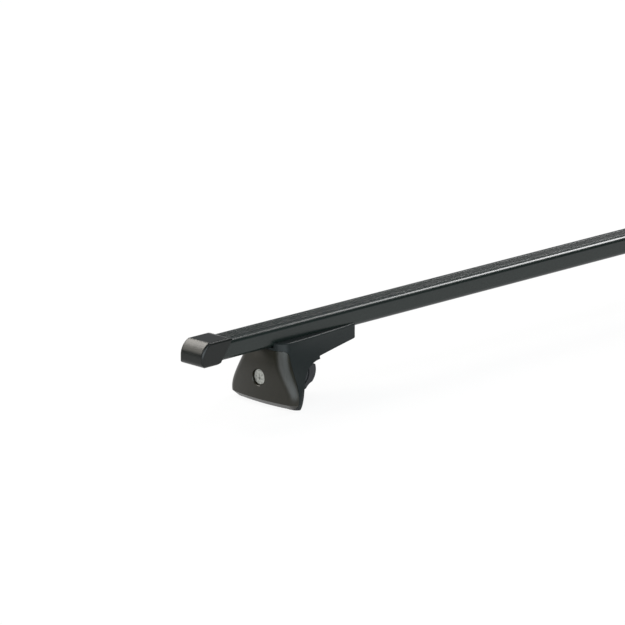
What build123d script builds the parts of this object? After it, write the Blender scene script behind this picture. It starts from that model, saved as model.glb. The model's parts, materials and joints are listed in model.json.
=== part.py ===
# Roof rack crossbar: a coated steel tube with moulded end caps, carried on two lockable feet that
# clamp a roof rail. Millimetres. X runs along the bar, Z is up, and the origin is on the ground
# under the middle of the bar.

import os
from math import acos, asin, cos, degrees, radians, sin, sqrt

from build123d import *

# Bar: coated steel tube with a ribbed band along its top
overall_length = 1200.0
bar_width = 32.0
bar_height = 22.0
bar_corner = 5.0
bar_wall = 2.0
rib_height = 0.5
rib_width = 1.0
rib_pitch = 1.9
rib_round = 0.4
rib_count = 7
ridge_width = 1.5
rib_end_gap = 0.5

# End caps
cap_wall = 1.7
cap_low_wall = 2.4
cap_corner = 3.0
cap_press_gap = 0.1
cap_top_length = 39.5
cap_low_length = 22.0
cap_edge = 3.0
rim_taper = 5.5
rim_lip = 0.4
nose_radius = 18.4
nose_drop = 4.0
nose_foot_radius = 6.5
nose_depth = 16.0
spigot_length = 20.0
spigot_wall = 2.2

# Foot: outer form, X measured inwards from its outer face
foot_inset = 100.0
foot_length = 133.0
face_radius = 230.0
cradle_height = 65.5
seat_gap = 0.3
lip_height = 5.5
lip_width = 11.2
ledge_corner = 13.5
ledge_bow = 2.6
ledge_setback = 8.0
ledge_edge = 2.0
tip_lip = 1.7
tip_corner = 2.5
bevel_depth = 8.8
base_half_width = 49.5
base_corner = 8.0
side_bow = 0.3

# Foot: its flare, as height, half-width, corner, outward bow of the sides and setback of the front
flare = (
    (7.0, 53.4, 11.5, side_bow, 0.0),
    (16.2, 53.5, 12.0, side_bow, 0.0),
    (27.0, 49.6, 13.5, 0.5, 0.0),
    (36.3, 44.0, 14.0, 0.8, 0.2),
    (50.3, 35.9, 13.5, 0.7, 2.2),
)

# Foot: arch over the rail and the wing's lower edge, seen from the side
arch_centre_x = 65.0
arch_centre_z = -2.3
arch_radius = 47.1
step_x = 66.2
step_run = 0.3
step_rise = 3.2
wing_rise = 5.7
wing_corner = 4.0

# Foot: walls inside
body_wall = 3.5
deck_thickness = 5.0
saddle_wall = 3.0
saddle_end_angle = 127.0
screw_wall_x = 30.0
screw_wall = 4.0

# Rail pad
pad_thickness = 2.8
pad_gap = 0.1
pad_half_width = 27.0
pad_margin_angle = 1.5
pad_low = 4.0

# Cover and its lock
cover_wall = 2.6
cover_gap = 0.3
cover_depth = 17.5
cover_low_depth = 11.5
cover_drop = 2.5
cover_corner = 6.0
cover_lift = 0.4
peg_diameter = 6.0
peg_gap = 0.3
peg_y = 32.0
peg_z = 16.0
peg_engagement = 3.3
lock_z = 31.4
lock_recess = 2.5
lock_chamfer = 0.7
lock_face_diameter = 16.6
lock_gap = 0.05
sleeve_diameter = 18.6
sleeve_length = 8.0
sleeve_setback = 0.6
boss_wall = 2.4
cam_thickness = 2.5
cam_reach = 16.5
cam_width = 7.0
cam_gap = 0.3
cam_screw_diameter = 4.0
cam_screw_grip = 5.0
cam_screw_head = 7.5
cam_screw_head_height = 2.2
keyway_width = 0.9
keyway_height = 6.5
keyway_depth = 0.5
keeper_y = 13.0
keeper_wall = 2.5
keeper_front_x = 8.6
keeper_low = 11.0
keeper_high = 40.0
keeper_edge = 2.5

# Rail clamp
screw_drop = 9.2
screw_diameter = 8.0
screw_spare = 1.0
jaw_travel = 12.0
screw_head_diameter = 13.0
screw_head_height = 8.0
screw_socket = 6.0
screw_socket_depth = 4.5
hole_gap = 0.4
thread_gap = 0.08
clamp_washer_diameter = 16.0
clamp_washer_thickness = 1.6
jaw_half_width = 26.5
rail_x = 36.5
rail_z = 33.0
jaw_grip_radius = 16.0
jaw_grip_high = 13.0
jaw_grip_low = -66.0
jaw_back_x = 62.0
jaw_back_z = 29.0
jaw_top = 39.7
jaw_shoulder = 3.0
jaw_heel_x = 56.8
jaw_heel_z = 20.6
jaw_waist = 0.9
jaw_chin_x = 47.5
jaw_chin_z = 14.6
jaw_tip_x = 41.0
jaw_tip_z = 14.5
jaw_tip_radius = 1.5
stem_x = 51.5
stem_length = 10.0
stem_half_width = 14.0
stem_top_gap = 0.7
guide_gap = 0.3
guide_wall = 3.0
guide_end_x = 80.0
guide_height = 10.0
nut_size = 13.0
nut_thickness = 6.5
nut_gap = 0.1
jaw_pad_thickness = 2.0
jaw_pad_margin_angle = 6.0
jaw_pad_inset = 1.5

# Bolts that hold the foot to the bar
bolt_end_distance = 17.0
bolt_spacing = 20.0
bolt_diameter = 6.0
bolt_head_diameter = 12.0
bolt_head_height = 3.6
bolt_socket = 4.0
bolt_socket_depth = 2.0
bolt_end_gap = 0.5
bolt_washer_diameter = 13.0
bolt_washer_thickness = 1.2
bolt_boss_height = 2.0
plate_thickness = 4.0
plate_side_gap = 0.2
plate_end = 12.0
plate_gap = 0.3
slot_width = 9.0
foot_travel_out = 40.0
foot_travel_in = 60.0

# Places worked out from the sizes above
ledge_height = cradle_height + lip_height
bar_bottom = cradle_height + seat_gap
bar_axis = bar_bottom + bar_height / 2
side_gap = seat_gap
ledge_half_width = bar_width / 2 + side_gap + lip_width
tip_half_width = bar_width / 2 + side_gap + tip_lip
deck_bottom = cradle_height - deck_thickness
cover_top = cradle_height - cover_drop
screw_z = deck_bottom - screw_drop
saddle_radius = arch_radius + pad_thickness + 2 * pad_gap
sleeve_x = lock_recess + sleeve_setback
cam_x = sleeve_x + sleeve_length + cam_gap
plate_low = bar_bottom + bar_wall + plate_gap
bolt_last_x = foot_length - bolt_end_distance
bolt_x = (bolt_last_x - bolt_spacing, bolt_last_x)
far = 2 * foot_length


def span_box(x0, x1, y0, y1, z0, z1):
    """A block between two corners."""
    block = Box(x1 - x0, y1 - y0, z1 - z0, align=(Align.MIN, Align.MIN, Align.MIN))
    return Pos(x0, y0, z0) * block


def rod_x(diameter, x0, x1, y, z):
    """A round bar along X."""
    return extrude(Pos(x0, y, z) * (Plane.YZ * Circle(diameter / 2)), x1 - x0, dir=(1, 0, 0))


def rod_z(diameter, z0, z1, x, y):
    """A round bar along Z."""
    return extrude(Pos(x, y, z0) * Circle(diameter / 2), z1 - z0)


def side_prism(edges, half_width):
    """A shape drawn from the side (X across, Z up), carried the same distance to both sides."""
    outline = Plane.XZ * Curve(edges)
    return extrude(make_face(outline.edges()), half_width, both=True)


def arch_point(radius, angle):
    """A point on a circle about the arch's centre, angle from the inward direction."""
    turn = radians(angle)
    return (arch_centre_x + radius * cos(turn), arch_centre_z + radius * sin(turn))


def bar_section(width, height, corner):
    """A rounded rectangle across the bar."""
    return Pos(0, 0, bar_axis) * (Plane.YZ * RectangleRounded(width, height, corner))


def rib_strips():
    """The ribs and edge ridges on the bar's top, drawn across the bar."""
    reach = (rib_count - 1) / 2 * rib_pitch
    ridge_y = reach + rib_pitch / 2 + ridge_width / 2
    places = [(i * rib_pitch - reach, rib_width) for i in range(rib_count)]
    places += [(-ridge_y, ridge_width), (ridge_y, ridge_width)]
    root = bar_wall / 2
    middle = bar_axis + bar_height / 2 + (rib_height - root) / 2
    return [
        Pos(0, y, middle) * (Plane.YZ * RectangleRounded(width, rib_height + root, rib_round))
        for y, width in places
    ]


def make_bar():
    """The tube with ribs from cap to cap and, underneath, a slot at each end for the foot's bolts."""
    section = bar_section(bar_width, bar_height, bar_corner)
    section -= bar_section(bar_width - 2 * bar_wall, bar_height - 2 * bar_wall, bar_corner - bar_wall)
    tube = extrude(section, overall_length / 2 - nose_depth, both=True)
    rib_end = overall_length / 2 - cap_top_length - rim_taper - rib_end_gap
    for strip in rib_strips():
        tube += extrude(strip, rib_end, both=True)
    outer = -overall_length / 2 + foot_inset
    first = outer + min(bolt_x) - foot_travel_out - slot_width / 2
    last = outer + max(bolt_x) + foot_travel_in + slot_width / 2
    opening = SlotOverall(last - first, slot_width)
    for side in (1, -1):
        place = Pos(side * (first + last) / 2, 0, bar_bottom)
        tube -= extrude(place * opening, bar_wall + rib_height, both=True)
    return tube


def make_cap():
    """An end cap: a round nose, a slanted rim that tapers onto the bar, and a spigot in the tube."""
    shell = cap_press_gap + cap_wall
    width = bar_width + 2 * shell
    low = -bar_height / 2 - cap_press_gap - cap_low_wall
    high = bar_height / 2 + rib_height + shell
    rim_high = bar_height / 2 + rib_height + cap_press_gap + rim_lip
    rim_low = -bar_height / 2 - cap_press_gap - rim_lip
    nose_end = asin((high + nose_drop) / nose_radius)
    nose_start = (0, -nose_drop)
    nose_middle = cap_nose_point(nose_end / 2)
    nose_top = cap_nose_point(nose_end)
    foot = nose_foot_radius
    foot_bend = foot * (1 - cos(radians(45)))
    outline = [
        ThreePointArc(nose_start, nose_middle, nose_top),
        Polyline(
            nose_top,
            (cap_top_length, high),
            (cap_top_length + rim_taper, rim_high),
            (cap_low_length + rim_taper, rim_low),
            (cap_low_length, low),
            (foot, low),
        ),
        ThreePointArc((foot, low), (foot_bend, low + foot_bend), (0, low + foot)),
        Line((0, low + foot), nose_start),
    ]
    form = Pos(0, 0, bar_axis) * side_prism(outline, width)
    form &= rounded_nose(width)
    section = Plane.YZ * RectangleRounded(width, high - low, cap_corner)
    form &= extrude(Pos(0, 0, bar_axis + (high + low) / 2) * section, far, dir=(1, 0, 0))
    form -= cap_socket()
    return form + cap_spigot()


def cap_nose_point(angle):
    """A point on the cap's round nose, angle up from the outermost point."""
    return (nose_radius * (1 - cos(angle)), nose_radius * sin(angle) - nose_drop)


def rounded_nose(width):
    """The cap's width with its nose's side edges rounded: a rounded disc, carried down and inwards."""
    height = bar_axis - nose_drop
    plan = Pos(nose_radius / 2, 0, height) * Rectangle(nose_radius, width)
    plan = fillet(plan.vertices().group_by(Axis.X)[0], cap_edge)
    form = revolve(plan, Axis((nose_radius, 0, height), (0, 1, 0)))
    form += extrude(plan, bar_axis, dir=(0, 0, -1))
    return form + span_box(nose_radius, far, -width / 2, width / 2, 0, far)


def cap_socket():
    """The room for the tube's end."""
    gap = 2 * cap_press_gap
    hole = bar_section(bar_width + gap, bar_height + gap, bar_corner)
    return extrude(Pos(nose_depth, 0, 0) * hole, far, dir=(1, 0, 0))


def cap_spigot():
    """The hollow plug that fills the tube's end."""
    inside = 2 * (bar_wall + cap_press_gap)
    corner = bar_corner - bar_wall
    plug = bar_section(bar_width - inside, bar_height - inside, corner)
    plug -= bar_section(bar_width - inside - 2 * spigot_wall, bar_height - inside - 2 * spigot_wall, corner)
    return extrude(Pos(nose_depth, 0, 0) * plug, spigot_length, dir=(1, 0, 0))


def plan_section(height, half_width, corner, bow, setback, inset):
    """The foot's outline from above at one height: a crowned front that narrows to the wing's tip."""
    side = half_width - inset
    tip_side = tip_half_width - inset
    face = setback + inset
    shoulder = face + side**2 / (2 * face_radius)
    tip = foot_length - inset
    middle = ((shoulder + tip) / 2, (side + tip_side) / 2 + bow)
    edges = [
        ThreePointArc((shoulder, -side), (face, 0), (shoulder, side)),
        ThreePointArc((shoulder, side), middle, (tip, tip_side)),
        Line((tip, tip_side), (tip, -tip_side)),
        ThreePointArc((tip, -tip_side), (middle[0], -middle[1]), (shoulder, -side)),
    ]
    outline = make_face(Curve(edges).edges())
    outline = fillet(outline.vertices().group_by(Axis.X)[0], corner - inset)
    outline = fillet(outline.vertices().group_by(Axis.X)[-1], tip_corner)
    return Pos(0, 0, height) * outline


def foot_form(inset):
    """The foot's flared outer form, or the same form drawn in by a wall."""
    ledge = (ledge_height, ledge_half_width, ledge_corner, ledge_bow, ledge_setback)
    sections = [plan_section(*station, inset) for station in (*flare, ledge)]
    base = plan_section(0, base_half_width, base_corner, side_bow, bevel_depth, inset)
    return loft(sections) + loft([base, sections[0]], ruled=True)


def side_outline():
    """The foot from the side: skirt, arch over the rail, step, and the wing's rising lower edge."""
    arch_low = (saddle_front(arch_radius, 0), 0)
    arch_turn = degrees(acos((step_x - arch_centre_x) / arch_radius))
    arch_end = arch_point(arch_radius, arch_turn)
    arch_middle = arch_point(arch_radius, (180 + arch_turn) / 2)
    step_high = (step_x + step_run, arch_end[1] + step_rise)
    tip_low = step_high[1] + wing_rise
    tip_start = (foot_length - wing_corner, tip_low)
    tip_end = (foot_length, tip_low + wing_corner)
    bend = wing_corner * (1 - cos(radians(45)))
    return [
        Polyline((-body_wall, -body_wall), (arch_low[0], -body_wall), arch_low),
        ThreePointArc(arch_low, arch_middle, arch_end),
        Polyline(arch_end, step_high, tip_start),
        ThreePointArc(tip_start, (foot_length - bend, tip_low + bend), tip_end),
        Polyline(tip_end, (foot_length, far), (-body_wall, far), (-body_wall, -body_wall)),
    ]


def saddle_outline():
    """The curved wall that carries the rail pad, from the side."""
    outer = saddle_radius + saddle_wall
    outer_low = (saddle_front(outer, 0), 0)
    inner_low = (saddle_front(saddle_radius, 0), 0)
    middle = (180 + saddle_end_angle) / 2
    outer_end = arch_point(outer, saddle_end_angle)
    inner_end = arch_point(saddle_radius, saddle_end_angle)
    return [
        Line(inner_low, outer_low),
        ThreePointArc(outer_low, arch_point(outer, middle), outer_end),
        Line(outer_end, inner_end),
        ThreePointArc(inner_end, arch_point(saddle_radius, middle), inner_low),
    ]


def saddle_front(radius, height):
    """How far in a circle about the arch's centre lies at one height."""
    return arch_centre_x - sqrt(radius**2 - (height - arch_centre_z) ** 2)


def make_keeper():
    """The rib that the lock's cam turns into, with its window."""
    middle = saddle_radius + saddle_wall / 2
    back = saddle_front(middle, keeper_high)
    rib = span_box(keeper_front_x, back, keeper_y, keeper_y + keeper_wall, keeper_low, keeper_high)
    core = Plane.XZ * (Pos(arch_centre_x, arch_centre_z) * Circle(middle))
    rib -= extrude(core, far, both=True)
    window_low = keeper_low + keeper_edge
    window_high = keeper_high - keeper_edge
    window_end = cam_x + cam_thickness + cam_gap
    return rib - span_box(cam_x - cam_gap, window_end, 0, far, window_low, window_high)


def make_foot_body():
    """Cradle, wing, side walls, rail saddle and screw wall, moulded as one piece."""
    outer = foot_form(0)
    top_edges = outer.faces().sort_by(Axis.Z)[-1].edges()
    outer = fillet(top_edges, ledge_edge)
    hollow = foot_form(body_wall) & span_box(-far, far, -far, far, -far, deck_bottom)
    walls = side_prism(saddle_outline(), far)
    wall_middle = saddle_radius + saddle_wall / 2
    wall_run = arch_centre_x - screw_wall_x - screw_wall / 2
    wall_low = arch_centre_z + sqrt(wall_middle**2 - wall_run**2)
    walls += span_box(screw_wall_x, screw_wall_x + screw_wall, -far, far, wall_low, cradle_height)
    guide_y = stem_half_width + guide_gap
    guide_low = deck_bottom - guide_height
    for low_y in (guide_y, -guide_y - guide_wall):
        walls += span_box(screw_wall_x, guide_end_x, low_y, low_y + guide_wall, guide_low, cradle_height)
    for x in bolt_x:
        walls += rod_z(bolt_washer_diameter, deck_bottom - bolt_boss_height, cradle_height, x, 0)
    body = (outer - hollow) + (walls & outer)
    body &= side_prism(side_outline(), far)
    body -= cover_zone(cover_gap)
    body += make_keeper()
    channel = bar_width / 2 + side_gap
    body -= span_box(-far, far, -channel, channel, cradle_height, far)
    body -= rod_x(screw_diameter + 2 * hole_gap, 0, screw_wall_x + 2 * screw_wall, 0, screw_z)
    for x in bolt_x:
        body -= rod_z(bolt_diameter + 2 * hole_gap, 0, far, x, 0)
    for y in (peg_y, -peg_y):
        body -= rod_x(peg_diameter + 2 * peg_gap, 0, arch_centre_x, y, peg_z)
    return body


def make_rail_pad():
    """The rubber lining of the saddle."""
    outer = saddle_radius - pad_gap
    inner = outer - pad_thickness
    first = degrees(acos((saddle_front(inner, pad_low) - arch_centre_x) / inner))
    last = saddle_end_angle + pad_margin_angle
    middle = (first + last) / 2
    outline = [
        ThreePointArc(arch_point(outer, first), arch_point(outer, middle), arch_point(outer, last)),
        Line(arch_point(outer, last), arch_point(inner, last)),
        ThreePointArc(arch_point(inner, last), arch_point(inner, middle), arch_point(inner, first)),
        Line(arch_point(inner, first), arch_point(outer, first)),
    ]
    return side_prism(outline, pad_half_width)


def cover_zone(gap):
    """The room that the cover takes up: the foot's front, slanted and rounded behind."""
    low_back = cover_low_depth + gap
    high = cover_top + gap
    points = [(-far, -far), (low_back, -far), (low_back, 0), (cover_depth + gap, high), (-far, high)]
    block = side_prism([Polyline(*points, close=True)], far)
    back_edges = block.edges().filter_by(Axis.Y).group_by(Axis.X)[-1]
    return fillet(back_edges, cover_corner)


def make_lock_cover():
    """The pull-off cover: front, rounded edges and top, with the lock's boss and two guide pegs."""
    cover = foot_form(0) & cover_zone(0) & span_box(-far, far, -far, far, cover_lift, far)
    cover -= foot_form(cover_wall) & span_box(-far, far, -far, far, -far, cover_top - cover_wall)
    bore = sleeve_diameter + 2 * lock_gap
    boss_end = sleeve_x + sleeve_length - boss_wall / 2
    cover += rod_x(bore + 2 * boss_wall, cover_wall / 2, boss_end, 0, lock_z)
    peg_end = saddle_front(saddle_radius + saddle_wall, peg_z) + peg_engagement
    peg_start = peg_y**2 / (2 * face_radius) + cover_wall / 2
    for y in (peg_y, -peg_y):
        cover += rod_x(peg_diameter, peg_start, peg_end, y, peg_z)
    cover -= rod_x(bore, -far, far, 0, lock_z)
    mouth = Cone(bore / 2 + 2 * lock_chamfer, bore / 2, 2 * lock_chamfer)
    return cover - Pos(0, 0, lock_z) * Rot(0, 90, 0) * mouth


def make_lock_sleeve():
    """The fixed sleeve that the lock's cylinder turns in."""
    sleeve = rod_x(sleeve_diameter, sleeve_x, sleeve_x + sleeve_length, 0, lock_z)
    return sleeve - rod_x(lock_face_diameter + 2 * lock_gap, 0, far, 0, lock_z)


def make_lock_cylinder():
    """The turning cylinder, with its keyway and the thread hole for the cam's screw."""
    cylinder = rod_x(lock_face_diameter, lock_recess, cam_x, 0, lock_z)
    half_width = keyway_width / 2
    low = lock_z - keyway_height / 2
    high = lock_z + keyway_height / 2
    keyway = span_box(0, lock_recess + keyway_depth, -half_width, half_width, low, high)
    hole = rod_x(cam_screw_diameter + 2 * thread_gap, cam_x - cam_screw_grip, far, 0, lock_z)
    return cylinder - keyway - hole


def make_lock_cam():
    """The tongue on the lock's back, pointing down when the cover is free."""
    run = cam_reach - cam_width / 2
    blank = SlotCenterToCenter(run, cam_width, rotation=90)
    cam = extrude(Pos(cam_x, 0, lock_z - run / 2) * (Plane.YZ * blank), cam_thickness, dir=(1, 0, 0))
    return cam - rod_x(cam_screw_diameter + 2 * thread_gap, 0, far, 0, lock_z)


def make_cam_screw():
    """The screw that holds the cam."""
    seat = cam_x + cam_thickness
    shank = rod_x(cam_screw_diameter, cam_x - cam_screw_grip + cam_gap, seat, 0, lock_z)
    return shank + rod_x(cam_screw_head, seat, seat + cam_screw_head_height, 0, lock_z)


def make_clamp_screw():
    """The long screw that draws the jaw towards the saddle, with a hexagon socket."""
    seat = screw_wall_x - clamp_washer_thickness
    front = seat - screw_head_height
    end = stem_x + stem_length + jaw_travel + screw_spare
    screw = rod_x(screw_diameter, seat, end, 0, screw_z)
    screw += rod_x(screw_head_diameter, front, seat, 0, screw_z)
    socket = Plane.YZ * RegularPolygon(screw_socket / 2, 6, major_radius=False)
    return screw - extrude(Pos(front, 0, screw_z) * socket, screw_socket_depth, dir=(1, 0, 0))


def make_clamp_washer():
    """The washer under the clamp screw's head."""
    disc = rod_x(clamp_washer_diameter, screw_wall_x - clamp_washer_thickness, screw_wall_x, 0, screw_z)
    return disc - rod_x(screw_diameter + 2 * hole_gap, 0, far, 0, screw_z)


def grip_point(radius, angle):
    """A point on a circle about the rail, angle up from the inward direction."""
    turn = radians(angle)
    return (rail_x + radius * cos(turn), rail_z + radius * sin(turn))


def make_clamp_jaw():
    """The inner claw that hooks under the rail, with the stem that holds the nut."""
    grip_middle = grip_point(jaw_grip_radius, (jaw_grip_low + jaw_grip_high) / 2)
    face_low = grip_point(jaw_grip_radius, jaw_grip_low)
    face_high = grip_point(jaw_grip_radius, jaw_grip_high)
    heel = (jaw_heel_x, jaw_heel_z)
    chin = (jaw_chin_x, jaw_chin_z)
    hollow = ((jaw_heel_x + jaw_chin_x) / 2 - jaw_waist / 2, (jaw_heel_z + jaw_chin_z) / 2 + jaw_waist)
    back_top = (stem_x + stem_length, jaw_top)
    tip_low = (jaw_tip_x + jaw_tip_radius, jaw_tip_z - jaw_tip_radius)
    tip_high = (jaw_tip_x + jaw_tip_radius, jaw_tip_z + jaw_tip_radius)
    outline = [
        ThreePointArc(face_low, grip_middle, face_high),
        Polyline(face_high, (face_high[0] + jaw_shoulder, jaw_top), back_top),
        ThreePointArc(back_top, (jaw_back_x, jaw_back_z), heel),
        ThreePointArc(heel, hollow, chin),
        Line(chin, tip_low),
        ThreePointArc(tip_low, (jaw_tip_x, jaw_tip_z), tip_high),
        Line(tip_high, face_low),
    ]
    jaw = side_prism(outline, jaw_half_width)
    stem_end = stem_x + stem_length
    stem_top = deck_bottom - stem_top_gap
    jaw += span_box(stem_x, stem_end, -stem_half_width, stem_half_width, face_high[1], stem_top)
    pocket = nut_size / 2 + nut_gap
    pocket_x = stem_end - nut_thickness - nut_gap
    jaw -= span_box(pocket_x, far, -pocket, pocket, screw_z - pocket, screw_z + pocket)
    return jaw - rod_x(screw_diameter + 2 * hole_gap, 0, far, 0, screw_z)


def make_jaw_nut():
    """The square nut in the jaw's stem."""
    end = stem_x + stem_length
    half = nut_size / 2
    nut = span_box(end - nut_thickness, end, -half, half, screw_z - half, screw_z + half)
    return nut - rod_x(screw_diameter + 2 * thread_gap, 0, far, 0, screw_z)


def make_jaw_pad():
    """The rubber lining of the jaw's face."""
    outer = jaw_grip_radius - pad_gap
    inner = outer - jaw_pad_thickness
    low = jaw_grip_low + jaw_pad_margin_angle
    high = jaw_grip_high - jaw_pad_margin_angle
    middle = (low + high) / 2
    outline = [
        ThreePointArc(grip_point(outer, low), grip_point(outer, middle), grip_point(outer, high)),
        Line(grip_point(outer, high), grip_point(inner, high)),
        ThreePointArc(grip_point(inner, high), grip_point(inner, middle), grip_point(inner, low)),
        Line(grip_point(inner, low), grip_point(outer, low)),
    ]
    return side_prism(outline, jaw_half_width - jaw_pad_inset)


def make_bar_washers():
    """The washers under the heads of the bar bolts."""
    high = deck_bottom - bolt_boss_height
    washers = [rod_z(bolt_washer_diameter, high - bolt_washer_thickness, high, x, 0) for x in bolt_x]
    holes = [rod_z(bolt_diameter + 2 * hole_gap, 0, far, x, 0) for x in bolt_x]
    return Compound([washer - hole for washer, hole in zip(washers, holes)])


def make_bar_bolts():
    """The two bolts that pull the clamp plate down inside the bar."""
    seat = deck_bottom - bolt_boss_height - bolt_washer_thickness
    low = seat - bolt_head_height
    bolts = []
    for x in bolt_x:
        bolt = rod_z(bolt_diameter, seat, plate_low + plate_thickness + bolt_end_gap, x, 0)
        bolt += rod_z(bolt_head_diameter, low, seat, x, 0)
        socket = RegularPolygon(bolt_socket / 2, 6, major_radius=False)
        bolt -= extrude(Pos(x, 0, low) * socket, bolt_socket_depth)
        bolts.append(bolt)
    return Compound(bolts)


def make_clamp_plate():
    """The threaded plate that the bar bolts screw into, inside the tube."""
    middle = (min(bolt_x) + max(bolt_x)) / 2
    half = bolt_spacing / 2 + plate_end
    side = bar_width / 2 - bar_corner - plate_side_gap
    high = plate_low + plate_thickness
    plate = span_box(middle - half, middle + half, -side, side, plate_low, high)
    for x in bolt_x:
        plate -= rod_z(bolt_diameter + 2 * thread_gap, 0, far, x, 0)
    return plate


def make_foot():
    """The pieces of one foot, in the foot's own place."""
    return {
        "foot_body": make_foot_body(),
        "rail_pad": make_rail_pad(),
        "lock_cover": make_lock_cover(),
        "lock_sleeve": make_lock_sleeve(),
        "lock_cylinder": make_lock_cylinder(),
        "lock_cam": make_lock_cam(),
        "cam_screw": make_cam_screw(),
        "clamp_screw": make_clamp_screw(),
        "clamp_washer": make_clamp_washer(),
        "clamp_jaw": make_clamp_jaw(),
        "jaw_nut": make_jaw_nut(),
        "jaw_pad": make_jaw_pad(),
        "bar_washers": make_bar_washers(),
        "bar_bolts": make_bar_bolts(),
        "bar_clamp_plate": make_clamp_plate(),
    }


os.makedirs("parts", exist_ok=True)
export_step(make_bar(), "parts/bar_tube.step")
cap = make_cap()
foot = make_foot()
for side, turn in (("left", 0), ("right", 180)):
    cap_place = Rot(0, 0, turn) * Pos(-overall_length / 2, 0, 0)
    foot_place = Rot(0, 0, turn) * Pos(foot_inset - overall_length / 2, 0, 0)
    export_step(cap_place * cap, f"parts/end_cap_{side}.step")
    for name, piece in foot.items():
        export_step(foot_place * piece, f"parts/{name}_{side}.step")
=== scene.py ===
# Looks of the roof rack crossbar: materials, studio light and the camera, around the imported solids.
# Metres. X runs along the bar, Z is up, and the foot nearest the camera is at the bar's left end.

import json
from math import radians

import bpy
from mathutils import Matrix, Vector

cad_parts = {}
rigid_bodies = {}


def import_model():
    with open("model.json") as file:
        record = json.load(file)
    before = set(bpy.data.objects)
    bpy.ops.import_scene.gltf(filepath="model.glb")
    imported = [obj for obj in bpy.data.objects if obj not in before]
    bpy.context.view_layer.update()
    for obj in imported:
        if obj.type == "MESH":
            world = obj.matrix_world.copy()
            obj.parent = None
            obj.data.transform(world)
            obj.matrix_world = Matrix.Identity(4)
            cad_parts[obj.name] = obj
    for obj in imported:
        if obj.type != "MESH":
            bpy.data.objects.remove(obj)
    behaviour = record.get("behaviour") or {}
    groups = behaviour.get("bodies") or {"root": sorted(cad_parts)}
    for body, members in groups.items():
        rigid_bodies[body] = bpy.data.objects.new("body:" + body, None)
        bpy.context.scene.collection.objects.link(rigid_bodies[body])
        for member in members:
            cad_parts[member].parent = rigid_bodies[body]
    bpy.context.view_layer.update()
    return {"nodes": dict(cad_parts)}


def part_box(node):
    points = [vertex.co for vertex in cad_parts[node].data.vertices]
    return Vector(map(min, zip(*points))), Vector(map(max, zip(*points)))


for thing in list(bpy.data.objects):
    bpy.data.objects.remove(thing)
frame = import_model()
nodes = frame["nodes"]

# Camera, from the photograph's own perspective: angles in degrees, lens and sensor in millimetres
camera_place = (-3.8020, -3.3858, 1.3713)
camera_tilt = 75.0
camera_turn = -45.0
camera_lens = 260.61
camera_sensor = 36.0

# Ribbed band on the bar, down from the ribs' tops and out to the plain ridge on each side
band_half_width = 0.0063
band_depth = 0.0009
band_blend = 0.0003

# Noise in the materials: grain in the bumps, clouds in the roughness, stains in the colour
grain_detail = 2.0
cloud_size = 0.025
cloud_detail = 3.0
stain_detail = 1.0
stain_range = (0.35, 0.6)
stain_shades = (0.62, 1.12)

# Grey surroundings, which darken from the screen's edge to its full depth on one side
world_grey = (0.29, 0.3, 0.31)
screen_side = (0.70, -0.70, 0.15)
screen_edge = 0.0
screen_full = 0.7
screen_level = 0.35

# Floor, its paint and the share of plain white in what the camera and the reflections see of it
floor_size = 40.0
floor_white = (0.7, 0.7, 0.7)
floor_glow = 0.9

# Points that the lamps face, and the colour that two of them share
middle = (-0.35, 0.0, 0.06)
near_foot = (-0.45, 0.0, 0.05)
cool_white = (0.86, 0.95, 1.0)


def new_material(name):
    """An empty node material, its tree and its output."""
    material = bpy.data.materials.new(name)
    material.use_nodes = True
    tree = material.node_tree
    tree.nodes.clear()
    output = tree.nodes.new("ShaderNodeOutputMaterial")
    return material, tree, output


def add_node(tree, kind, **inputs):
    """A node with some of its inputs set, underscores standing for spaces."""
    node = tree.nodes.new(kind)
    for name, value in inputs.items():
        node.inputs[name.replace("_", " ")].default_value = value
    return node


def calculate(tree, operation, *values):
    """The result of a math node on other nodes' outputs and plain numbers."""
    node = tree.nodes.new("ShaderNodeMath")
    node.operation = operation
    for slot, value in zip(node.inputs, values):
        if isinstance(value, bpy.types.NodeSocket):
            tree.links.new(value, slot)
        else:
            slot.default_value = value
    return node.outputs["Value"]


def mix_shaders(tree, share, first, second):
    """The mix of two shaders, by the second one's share."""
    mix = tree.nodes.new("ShaderNodeMixShader")
    for socket, slot in zip((share, first, second), mix.inputs):
        tree.links.new(socket, slot)
    return mix.outputs["Shader"]


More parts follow.
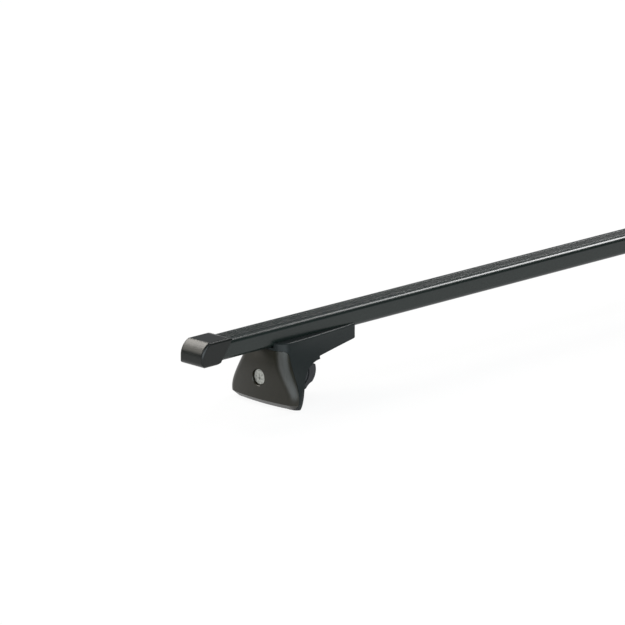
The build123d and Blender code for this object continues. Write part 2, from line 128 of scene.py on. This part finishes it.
def grained(
    name, colour, roughness, specular, grain_size, grain_depth, spread=0.0, metallic=0.0, stain_size=0.0
):
    """A colour with a fine grain: bumps of one size, and roughness and colour that vary where asked."""
    material, tree, output = new_material(name)
    place = tree.nodes.new("ShaderNodeTexCoord")
    shader = add_node(tree, "ShaderNodeBsdfPrincipled", Metallic=metallic, Roughness=roughness)
    shader.inputs["Base Color"].default_value = (*colour, 1)
    shader.inputs["Specular IOR Level"].default_value = specular
    grain = add_node(tree, "ShaderNodeTexNoise", Scale=1 / grain_size, Detail=grain_detail)
    bump = add_node(tree, "ShaderNodeBump", Strength=1.0, Distance=grain_depth)
    tree.links.new(place.outputs["Object"], grain.inputs["Vector"])
    tree.links.new(grain.outputs["Fac"], bump.inputs["Height"])
    tree.links.new(bump.outputs["Normal"], shader.inputs["Normal"])
    if spread:
        cloud = add_node(tree, "ShaderNodeTexNoise", Scale=1 / cloud_size, Detail=cloud_detail)
        level = add_node(tree, "ShaderNodeMapRange", To_Min=roughness - spread, To_Max=roughness + spread)
        tree.links.new(place.outputs["Object"], cloud.inputs["Vector"])
        tree.links.new(cloud.outputs["Fac"], level.inputs["Value"])
        tree.links.new(level.outputs["Result"], shader.inputs["Roughness"])
    if stain_size:
        stain = add_node(tree, "ShaderNodeTexNoise", Scale=1 / stain_size, Detail=stain_detail)
        ramp = tree.nodes.new("ShaderNodeValToRGB")
        for stop, position, shade in zip(ramp.color_ramp.elements, stain_range, stain_shades):
            stop.position = position
            stop.color = (*[shade * value for value in colour], 1)
        tree.links.new(place.outputs["Object"], stain.inputs["Vector"])
        tree.links.new(stain.outputs["Fac"], ramp.inputs["Fac"])
        tree.links.new(ramp.outputs["Color"], shader.inputs["Base Color"])
    tree.links.new(shader.outputs["BSDF"], output.inputs["Surface"])
    return material


def bar_coating(colour, roughness, specular, grain_size, grain_depth, matt_roughness):
    """The bar's smooth coating, matt on the ribbed band along its top."""
    material = grained("bar_coating", colour, roughness, specular, grain_size, grain_depth)
    tree = material.node_tree
    bar_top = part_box("bar_tube")[1][2]
    band_low = bar_top - band_depth
    band_edge = band_half_width + band_blend
    place = tree.nodes.new("ShaderNodeTexCoord")
    axes = tree.nodes.new("ShaderNodeSeparateXYZ")
    upward = add_node(
        tree, "ShaderNodeMapRange",
        From_Min=band_low, From_Max=band_low + band_blend, To_Min=roughness, To_Max=matt_roughness,
    )
    outward = add_node(
        tree, "ShaderNodeMapRange",
        From_Min=band_half_width, From_Max=band_edge, To_Max=roughness,
    )
    tree.links.new(place.outputs["Object"], axes.inputs["Vector"])
    tree.links.new(axes.outputs["Z"], upward.inputs["Value"])
    tree.links.new(calculate(tree, "ABSOLUTE", axes.outputs["Y"]), outward.inputs["Value"])
    tree.links.new(upward.outputs["Result"], outward.inputs["To Min"])
    tree.links.new(outward.outputs["Result"], tree.nodes["Principled BSDF"].inputs["Roughness"])
    return material


def floor_material():
    """A white floor that still takes the object's shadow, and is clear from below."""
    material, tree, output = new_material("floor_paper")
    path = tree.nodes.new("ShaderNodeLightPath")
    mirrored = calculate(
        tree, "MAXIMUM", path.outputs["Is Glossy Ray"], path.outputs["Is Transmission Ray"]
    )
    seen = calculate(tree, "MAXIMUM", path.outputs["Is Camera Ray"], mirrored)
    share = calculate(tree, "MULTIPLY", seen, floor_glow)
    diffuse = add_node(tree, "ShaderNodeBsdfDiffuse", Color=(*floor_white, 1))
    glow = add_node(tree, "ShaderNodeEmission", Color=(1, 1, 1, 1), Strength=1.0)
    paper = mix_shaders(tree, share, diffuse.outputs["BSDF"], glow.outputs["Emission"])
    side = tree.nodes.new("ShaderNodeNewGeometry")
    clear = tree.nodes.new("ShaderNodeBsdfTransparent")
    sheet = mix_shaders(tree, side.outputs["Backfacing"], paper, clear.outputs["BSDF"])
    tree.links.new(sheet, output.inputs["Surface"])
    return material


def paint(material, *names):
    """Gives a material to the CAD nodes whose names start with any of these words."""
    for node_name, node in nodes.items():
        if node_name.startswith(names):
            node.data.materials.clear()
            node.data.materials.append(material)


def softbox(name, place, aim, size, power, colour):
    """A rectangular soft lamp at a place, facing a point."""
    lamp = bpy.data.lights.new(name, "AREA")
    lamp.shape = "RECTANGLE"
    lamp.size, lamp.size_y = size
    lamp.energy = power
    lamp.color = colour
    holder = bpy.data.objects.new(name, lamp)
    holder.location = place
    holder.rotation_euler = (Vector(aim) - Vector(place)).to_track_quat("-Z", "Y").to_euler()
    bpy.context.scene.collection.objects.link(holder)


def add_camera():
    """The camera at the photograph's place."""
    lens = bpy.data.cameras.new("camera")
    lens.sensor_width = camera_sensor
    lens.lens = camera_lens
    lens.clip_end = floor_size
    holder = bpy.data.objects.new("camera", lens)
    holder.location = camera_place
    holder.rotation_euler = (radians(camera_tilt), 0, radians(camera_turn))
    bpy.context.scene.collection.objects.link(holder)
    bpy.context.scene.camera = holder


def add_floor():
    """A wide floor under the feet."""
    half = floor_size / 2
    mesh = bpy.data.meshes.new("floor")
    corners = [(-half, -half, 0), (half, -half, 0), (half, half, 0), (-half, half, 0)]
    mesh.from_pydata(corners, [], [(0, 1, 2, 3)])
    mesh.materials.append(floor_material())
    floor = bpy.data.objects.new("floor", mesh)
    bpy.context.scene.collection.objects.link(floor)


def add_world():
    """Grey light from all round, darker towards one side as beside a black studio screen."""
    world = bpy.data.worlds.new("studio")
    world.use_nodes = True
    tree = world.node_tree
    background = tree.nodes["Background"]
    background.inputs["Color"].default_value = (*world_grey, 1)
    place = tree.nodes.new("ShaderNodeTexCoord")
    towards = tree.nodes.new("ShaderNodeVectorMath")
    towards.operation = "DOT_PRODUCT"
    towards.inputs[1].default_value = screen_side
    level = add_node(
        tree, "ShaderNodeMapRange",
        From_Min=screen_edge, From_Max=screen_full, To_Min=1.0, To_Max=screen_level,
    )
    tree.links.new(place.outputs["Generated"], towards.inputs[0])
    tree.links.new(towards.outputs["Value"], level.inputs["Value"])
    tree.links.new(level.outputs["Result"], background.inputs["Strength"])
    bpy.context.scene.world = world


# Bar and end caps
paint(
    bar_coating(
        (0.0065, 0.0103, 0.009), roughness=0.24, specular=0.38,
        grain_size=0.0011, grain_depth=0.000001, matt_roughness=0.48,
    ),
    "bar_tube",
)
paint(
    grained(
        "cap_moulding", (0.0045, 0.0055, 0.005), roughness=0.3, specular=0.28,
        grain_size=0.0009, grain_depth=0.00001, spread=0.04,
    ),
    "end_cap",
)

# Feet and their covers
# Painted warm light: the covers are the feet's black plastic tinted brown, standing in for the warm light
# on the front faces.
paint(
    grained(
        "cover_moulding_painted_warm_light", (0.0075, 0.0066, 0.0028), roughness=0.37, specular=0.38,
        grain_size=0.0007, grain_depth=0.00001, spread=0.05,
    ),
    "lock_cover", "lock_sleeve",
)
# Painted cool shade: the same black plastic as the covers, tinted blue-grey and made less glossy, so the
# side walls look cooler and darker.
paint(
    grained(
        "foot_moulding_painted_cool_shade", (0.0135, 0.016, 0.0158), roughness=0.36, specular=0.11,
        grain_size=0.0007, grain_depth=0.00001, spread=0.05,
    ),
    "foot_body",
)

# Clamp jaws and rubber pads
paint(
    grained(
        "jaw_coating", (0.018, 0.0185, 0.0205), roughness=0.42, specular=0.26,
        grain_size=0.0008, grain_depth=0.00002, spread=0.05,
    ),
    "clamp_jaw",
)
paint(
    grained(
        "jaw_rubber", (0.04, 0.04, 0.042), roughness=0.6, specular=0.3,
        grain_size=0.0006, grain_depth=0.00002,
    ),
    "jaw_pad",
)
paint(
    grained(
        "rubber", (0.018, 0.018, 0.018), roughness=0.7, specular=0.3,
        grain_size=0.0006, grain_depth=0.00002,
    ),
    "rail_pad",
)

# Lock faces and bare metal
paint(
    grained(
        "lock_metal", (0.37, 0.38, 0.355), roughness=0.42, specular=0.5,
        grain_size=0.0006, grain_depth=0.00003, spread=0.1, metallic=1.0, stain_size=0.0022,
    ),
    "lock_cylinder",
)
paint(
    grained(
        "plated_steel", (0.45, 0.45, 0.43), roughness=0.35, specular=0.5,
        grain_size=0.0006, grain_depth=0.00001, spread=0.08, metallic=1.0,
    ),
    "lock_cam", "cam_screw", "clamp_screw", "clamp_washer", "jaw_nut",
    "bar_washers", "bar_bolts", "bar_clamp_plate",
)

# Studio
add_camera()
add_floor()
add_world()
softbox("back", (-0.7, 2.1, 2.1), middle, size=(2.0, 1.3), power=82, colour=(1.0, 0.96, 0.9))
softbox("back_low", (-2.1, 2.1, 1.4), middle, size=(1.4, 1.3), power=28, colour=(1.0, 0.95, 0.86))
softbox("right", (2.6, 0.2, 2.2), middle, size=(1.7, 1.2), power=92, colour=(1.0, 1.0, 1.0))
softbox("front_right", (-1.05, -2.42, 0.95), near_foot, size=(2.2, 1.9), power=56, colour=cool_white)
softbox("front_left", (-2.73, -1.02, 1.0), near_foot, size=(1.25, 1.9), power=23, colour=(0.9, 0.96, 1.0))
softbox("front_far", (-4.75, -4.3, 1.4), near_foot, size=(2.6, 2.8), power=98, colour=cool_white)

bpy.context.scene.view_settings.view_transform = "Standard"
